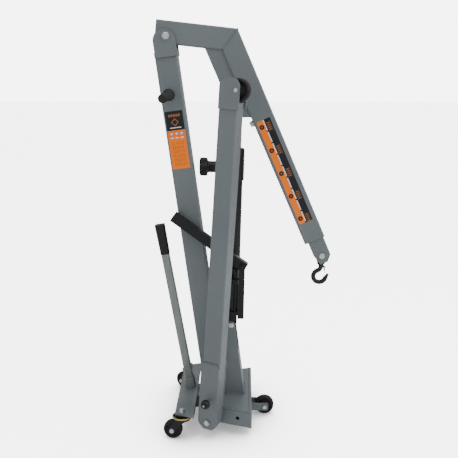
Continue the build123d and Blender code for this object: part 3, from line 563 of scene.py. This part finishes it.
def mast_decal():
    """A two-colour panel on the mast with plain generic marks."""
    near = face_frame(MAST, MAST_HALF_Y)
    left, right, top, split, foot = -0.0362, 0.0322, 1.175, 1.101, 0.951
    inks = {ink: bmesh.new() for ink in ("black", "orange", "rust", "white", "violet", "brown")}

    def mark(ink, x0, x1, z0, z1, corner):
        slab(inks[ink], x0, x1, z0, z1, near, SKIN, RAISED, corner)

    slab(inks["black"], left, right, split, top, near, 0.0, SKIN, 0.001)
    slab(inks["orange"], left, right, foot, split, near, 0.0, SKIN, 0.001)
    for k in range(5):
        x = -0.0245 + 0.0095 * k
        mark("brown", x, x + 0.0075, 1.153, 1.163, 0.002)
    ring(inks["brown"], -0.002, 1.132, 0.0155, 0.0105, near, SKIN, RAISED, 4)
    mark("white", -0.024, 0.020, 1.1095, 1.1125, 0.001)
    for k in range(3):
        x, z = -0.0215 + 0.0195 * k, 1.088
        ring(inks["violet"], x, z, 0.0072, 0.0048, near, SKIN, RAISED)
        ring(inks["white"], x, z, 0.0046, 0.0006, near, SKIN, RAISED)
        mark("white", x - 0.0065, x + 0.0065, 1.070, 1.074, 0.001)
    half_cell, half_hole, inset = 0.0048, 0.0028, 0.0018
    for row in range(6):
        z = 1.052 - 0.0165 * row
        for column in range(3):
            x = -0.0235 + 0.0165 * column
            width = 0.0125 if (row + column) % 3 else 0.008
            mark("rust", x, x + width, z - half_cell, z + half_cell, 0.0015)
            slab(
                inks["orange"], x + inset, x + width - inset, z - half_hole, z + half_hole,
                near, RAISED, RAISED + 0.0002, 0.0008,
            )
    print_decal("mast_decal", inks, "base")


# ------------------------------------------------------------------ wheels and casters
def wheel_piece(node, joint, body):
    """A moulded wheel: crowned tread, recessed side faces, raised hub."""
    low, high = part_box(node)
    radius = (high.z - low.z) / 2
    half = 0.015
    side = [
        (0.0075, half), (0.0125, half), (0.0135, half - 0.001), (0.0140, half - 0.0045),
        (radius - 0.0135, half - 0.0055), (radius - 0.0120, half - 0.0045),
        (radius - 0.0112, half - 0.0008), (radius - 0.0100, half), (radius - 0.0055, half - 0.0003),
        (radius - 0.0024, half - 0.0020), (radius - 0.0007, half - 0.0052),
        (radius - 0.0001, half - 0.0100), (radius, 0.0),
    ]
    profile = side + [(r, -h) for r, h in reversed(side[:-1])]
    bm = bmesh.new()
    lathe(bm, profile, aimed(joint_place(joint), joint_axis(joint)), 72)
    made = piece(node + "_moulded", bm, body, MATERIALS["black_wheel"])
    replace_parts(made, node)


def caster_race(body, joint):
    """The yellow zinc race that shows between the plate and the fork."""
    centre = joint_place(joint)
    radius, height, sides = 0.0362, 0.0958, 12
    turns = [2 * pi * k / sides for k in range(sides)]
    profile = [(radius + 0.0026 * cos(a), height + 0.0030 * sin(a)) for a in turns]
    bm = bmesh.new()
    lathe(bm, profile, Matrix.Translation((centre.x, centre.y, 0)), 72)
    piece(body + "_race", bm, body, GOLD)


# ------------------------------------------------------------------ bolts
# CORE is the small radius that closes a turned body near its axis.
CORE, CHAMFER = 0.0004, 0.0006


def rod(bm, where, shank, start, end):
    """A bolt's plain shank."""
    lathe(bm, [(shank, start), (shank, end), (CORE, end), (CORE, start)], where, 32)


def thread(bm, where, shank, start):
    """The turns of thread that show past a nut, and the chamfered tip."""
    turns, pitch = 4, 0.0011
    profile = [(0.0005, start)]
    for i in range(turns):
        z = start + pitch * i
        profile += [
            (shank * 0.84, z), (shank * 0.98, z + 0.0004),
            (shank * 0.98, z + 0.0007), (shank * 0.84, z + pitch),
        ]
    end = start + pitch * turns + CHAMFER
    lathe(bm, profile + [(shank * 0.70, end), (0.0005, end)], where, 24)


def bolt(bm, head_at, nut_at, shank, head, washer):
    """A hex bolt with chamfered head, washers, and a nut with its thread showing; both ends stand proud."""
    a, b = Vector(head_at), Vector(nut_at)
    length = (b - a).length
    where = aimed(a, b - a)
    rod(bm, where, shank, -0.001, length + 0.001)
    corner, thin, tall = head / cos(radians(30)), 0.002, head * 0.62
    for base, way in ((0.0, -1.0), (length, 1.0)):
        low, high = base + way * thin, base + way * (thin + tall)
        rim = [(washer - CHAMFER, base), (washer, base + way * thin * 0.4), (washer - 0.0003, low)]
        lathe(bm, rim + [(shank * 0.9, low), (shank * 0.9, base)], where, 40, 1)
        flat = [(corner, low), (corner, high - way * head * 0.12), (head * 0.90, high)]
        lathe(bm, flat + [(0.0005, high), (0.0005, low)], where, 6)
    thread(bm, where, shank, length + thin + tall)


def spacer(bm, a, b, radius, shank):
    """A plain sleeve round a bolt, between two points."""
    a, b = Vector(a), Vector(b)
    length = (b - a).length
    outside = [(radius - CHAMFER, 0), (radius, CHAMFER)]
    outside += [(radius, length - CHAMFER), (radius - CHAMFER, length)]
    lathe(bm, outside + [(shank, length), (shank, 0)], aimed(a, b - a), 32, 1)


def bolt_piece(node, body, bm, smooth):
    """Turns finished bolts into the piece that stands for a CAD node."""
    made = piece(node + "_detailed", bm, body, [MATERIALS["zinc_steel"], WASHER], smooth)
    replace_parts(made, node)


def across_bolts():
    """The bolts that lie square across the crane."""
    for node, half, shank, head, washer in (
        ("boom_pivot_bolt", MAST_HALF_Y + 0.008, 0.010, 0.0120, 0.0175),
        ("ram_foot_bolt", 0.060, 0.009, 0.0105, 0.0150),
        ("front_axle", 0.030, 0.006, 0.0075, 0.0105),
    ):
        low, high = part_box(node)
        x, z = (low.x + high.x) / 2, (low.z + high.z) / 2
        bm = bmesh.new()
        bolt(bm, (x, -half, z), (x, half, z), shank, head, washer)
        if node == "front_axle":
            for side in (-1, 1):
                spacer(bm, (x, side * 0.0155, z), (x, side * 0.024, z), 0.010, shank)
        bolt_piece(node, "base", bm, False)


def wheel_axle(body, where):
    """A leg wheel's axle, with a domed head outside, a flush end inside and a spacer each side."""
    wheel = where.inverted() @ joint_place(body + "_wheel_roll")
    shank, washer, head = 0.006, 0.0100, 0.0070

    def at(y):
        return where @ Vector((wheel.x, y, wheel.z))

    bm = bmesh.new()
    start, end = at(0.083), at(0.005)
    turn = aimed(start, end - start)
    rod(bm, turn, shank, -0.001, (end - start).length)
    rim = [(washer, 0.0), (washer, -0.0014), (shank, -0.0016), (shank, 0.0)]
    lathe(bm, rim, turn, 40, 1)
    arc = [(head * cos(t), -0.0016 - 0.0034 * sin(t)) for t in (radians(15 * k) for k in range(6))]
    lathe(bm, [(head, -0.0012)] + arc + [(CORE, -0.0050), (CORE, -0.0012)], turn, 32)
    for a, b in ((0.0575, 0.077), (0.007, 0.0265)):
        spacer(bm, at(a), at(b), 0.010, shank)
    bolt_piece(body + "_axle", body, bm, True)


def leg_bolts():
    """The two fold bolts, and each leg's wheel axle."""
    outside, inside = 0.083, -0.068
    bm = bmesh.new()
    for side in (-1, 1):
        where = leg_frame(side)
        head_at, nut_at = where @ Vector((0, outside, 0)), where @ Vector((0, inside, 0))
        bolt(bm, head_at, nut_at, shank=0.008, head=0.0098, washer=0.0148)
        wheel_axle("near_leg" if side < 0 else "far_leg", where)
    bolt_piece("leg_pivot_bolts", "base", bm, False)


# ------------------------------------------------------------------ knobs and grips
def hand_knob():
    """The release valve's knob: a crowned head with soft lobes, a waisted hub behind it."""
    axis = joint_axis("release_knob_turn")
    where = aimed(joint_place("release_knob_turn") - axis * 0.111, axis)
    lobes, sides, depth = 5, 120, 0.17
    # (distance from the ram's axis, radius, how much of the lobes' depth shows)
    rows = [
        (0.0420, 0.0004, 0.0), (0.0420, 0.0255, 0.0), (0.0435, 0.0260, 0.0), (0.0480, 0.0258, 0.0),
        (0.0560, 0.0245, 0.0), (0.0700, 0.0232, 0.0), (0.0900, 0.0224, 0.0), (0.1060, 0.0226, 0.0),
        (0.1100, 0.0238, 0.1), (0.1114, 0.0270, 0.4), (0.1120, 0.0330, 0.8), (0.1132, 0.0358, 1.0),
        (0.1160, 0.0371, 1.0), (0.1220, 0.0374, 1.0), (0.1320, 0.0373, 1.0), (0.1375, 0.0366, 1.0),
        (0.1408, 0.0348, 0.9), (0.1426, 0.0315, 0.6), (0.1434, 0.0260, 0.2), (0.1437, 0.0180, 0.0),
        (0.1430, 0.0165, 0.0), (0.1428, 0.0150, 0.0), (0.1428, 0.0004, 0.0),
    ]
    bm = bmesh.new()
    loops = []
    for height, radius, share in rows:
        loop = []
        for i in range(sides):
            a = 2 * pi * i / sides
            wave = (0.5 - 0.5 * cos(lobes * a)) ** 1.6
            r = radius * (1.0 - depth * share * wave)
            loop.append(bm.verts.new(where @ Vector((r * cos(a), r * sin(a), height))))
        loops.append(loop)
    skin(bm, loops)
    bm.faces.new(loops[0])
    bm.faces.new(loops[-1])
    made = piece("release_knob_moulded", bm, "knob", MATERIALS["black_plastic"])
    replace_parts(made, "release_knob")


def lock_ball(side):
    """The black ball on a lock pin, a little flattened at its seat, with a hollow at its end."""
    name = "near_lock" if side < 0 else "far_lock"
    where = leg_frame(side)
    outward = (where.to_3x3() @ Vector((0, 1, 0))).normalized()
    turn = aimed(where @ Vector((0.002, 0.119, 0.097)), outward)
    radius, seat, hollow = 0.0184, 0.0073, 0.0170
    ball = [(radius * cos(a), radius * sin(a)) for a in (radians(-66 + 6 * k) for k in range(24))]
    end = [(0.0040, hollow + 0.001), (0.0038, hollow), (CORE, hollow), (CORE, -hollow), (seat, -hollow)]
    bm = bmesh.new()
    lathe(bm, [(seat, ball[0][1] - 0.0016)] + ball + end, turn, 48)
    piece(name + "_ball", bm, name, MATERIALS["black_plastic"])


def ribbed_grip(side):
    """A rubber push grip with a flange and fine ribs, over the CAD grip's own axis."""
    sweep, drop = 3.5, 3.0
    name = "near_push_grip" if side < 0 else "far_push_grip"
    where = MAST @ Matrix.Translation((0, side * MAST_HALF_Y, PUSH_BAR_AT))
    where = where @ Matrix.Rotation(radians(side * sweep), 4, "Z")
    where = where @ Matrix.Rotation(radians(-side * (90 + drop)), 4, "X")
    start, end, bore = 0.058, 0.208, 0.0127
    profile = [(bore, start), (0.0225, start), (0.0232, start + 0.0015), (0.0232, start + 0.0050)]
    profile += [(0.0222, start + 0.0064), (0.0178, start + 0.0085), (0.0166, start + 0.0120)]
    ribs, pitch = 17, 0.0068
    for i in range(ribs):
        z = start + 0.014 + i * pitch
        swell = 0.0004 * sin(pi * i / (ribs - 1))
        valley, crest = 0.0160 + swell, 0.0170 + swell
        profile += [(valley, z), (crest, z + 0.0012), (crest, z + 0.0040), (valley, z + 0.0052)]
    profile += [(0.0168, end - 0.0085), (0.0160, end - 0.0035), (0.0138, end - 0.0006), (0.0110, end)]
    profile += [(0.0002, end), (0.0002, end - 0.0058), (bore, end - 0.0058)]
    bm = bmesh.new()
    lathe(bm, profile, where, 56)
    return piece(name, bm, "base", MATERIALS["black_rubber"])


boom_welds()
base_welds()
leg_welds(-1, "near_leg")
leg_welds(1, "far_leg")
jib_decal()
mast_decal()
for name in ("near_caster", "far_caster"):
    wheel_piece(name + "_wheel", name + "_roll", name + "_roller")
    caster_race(name, name + "_swivel")
for name in ("near_leg", "far_leg"):
    wheel_piece(name + "_wheel", name + "_wheel_roll", name + "_roller")
wheel_piece("front_wheel", "front_wheel_roll", "front_roller")
across_bolts()
leg_bolts()
hand_knob()
for side in (-1, 1):
    lock_ball(side)
    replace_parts(ribbed_grip(side), "push_bar_grips")


# ------------------------------------------------------------------ floor, light, camera
WORLD_POWER, PAPER_POWER, FLOOR_GLOW = 0.85, 6.5, 4.6
CAMERA_AT, CAMERA_DOWN, CAMERA_TURN, LENS = (0.005, -2.753, 1.430), 12.797, 1.357, 55.0


def floor():
    """A plain pale floor that runs far back, glows to the camera and has a painted shadow that darkens it close to
    the base.
    """
    mesh = bpy.data.meshes.new("floor")
    made = bpy.data.objects.new("floor", mesh)
    scene.collection.objects.link(made)
    bm = bmesh.new()
    bmesh.ops.create_grid(bm, x_segments=4, y_segments=4, size=30.0)
    bm.to_mesh(mesh)
    bm.free()
    n = Nodes("pale_floor_painted_shadow")
    pale = n.mix(n.noise(n.coords(), 2.0), (0.90, 0.90, 0.90), (0.93, 0.93, 0.93))
    n.put(n.bsdf, Base_Color=pale, Roughness=0.6, Specular_IOR_Level=0.15)
    n.put(n.bsdf, Emission_Color=(1.0, 1.0, 1.0, 1.0))
    # Painted shadow: ambient occlusion darkens the floor's glow close to the base.
    near = n.node("AmbientOcclusion", samples=12)
    near.inputs["Distance"].default_value = 0.3
    painted_contact_shadow = n.ramp(near.outputs["AO"], (0.4, 0.06), (0.98, 1.0))
    seen = n.node("LightPath").outputs["Is Camera Ray"]
    glow = n.math("MULTIPLY", seen, FLOOR_GLOW)
    n.put(n.bsdf, Emission_Strength=n.math("MULTIPLY", glow, painted_contact_shadow))
    mesh.materials.append(n.mat)


def area_light(name, size, power, place, aim):
    """A soft square light that points at a spot."""
    data = bpy.data.lights.new(name, "AREA")
    data.size = size
    data.energy = power
    made = bpy.data.objects.new(name, data)
    scene.collection.objects.link(made)
    made.location = place
    made.rotation_euler = (Vector(aim) - Vector(place)).to_track_quat("-Z", "Y").to_euler()


def paper_world():
    """White surroundings that light the crane softly and look brighter to the camera."""
    world = bpy.data.worlds.new("studio")
    scene.world = world
    world.use_nodes = True
    tree = world.node_tree
    paper = tree.nodes["Background"]
    paper.inputs["Color"].default_value = (1.0, 1.0, 1.0, 1.0)
    rays = tree.nodes.new("ShaderNodeLightPath")
    power = tree.nodes.new("ShaderNodeMapRange")
    power.inputs["To Min"].default_value = WORLD_POWER
    power.inputs["To Max"].default_value = PAPER_POWER
    tree.links.new(rays.outputs["Is Camera Ray"], power.inputs["Value"])
    tree.links.new(power.outputs[0], paper.inputs["Strength"])


def camera():
    """In front and above, looking a little down."""
    data = bpy.data.cameras.new("camera")
    data.lens = LENS
    data.sensor_width = 36.0
    data.clip_end = 100.0
    made = bpy.data.objects.new("camera", data)
    scene.collection.objects.link(made)
    made.location = CAMERA_AT
    made.rotation_euler = (radians(90.0 - CAMERA_DOWN), 0.0, radians(CAMERA_TURN))
    scene.camera = made


floor()
area_light("key", 2.0, 72.0, (3.5, -1.0, 2.9), (0, 0, 0.8))
area_light("fill", 3.0, 16.0, (-2.2, -3.0, 2.2), (0, 0, 0.8))
area_light("top", 2.4, 42.0, (0.2, -0.5, 4.2), (0, 0, 0.6))
paper_world()
camera()
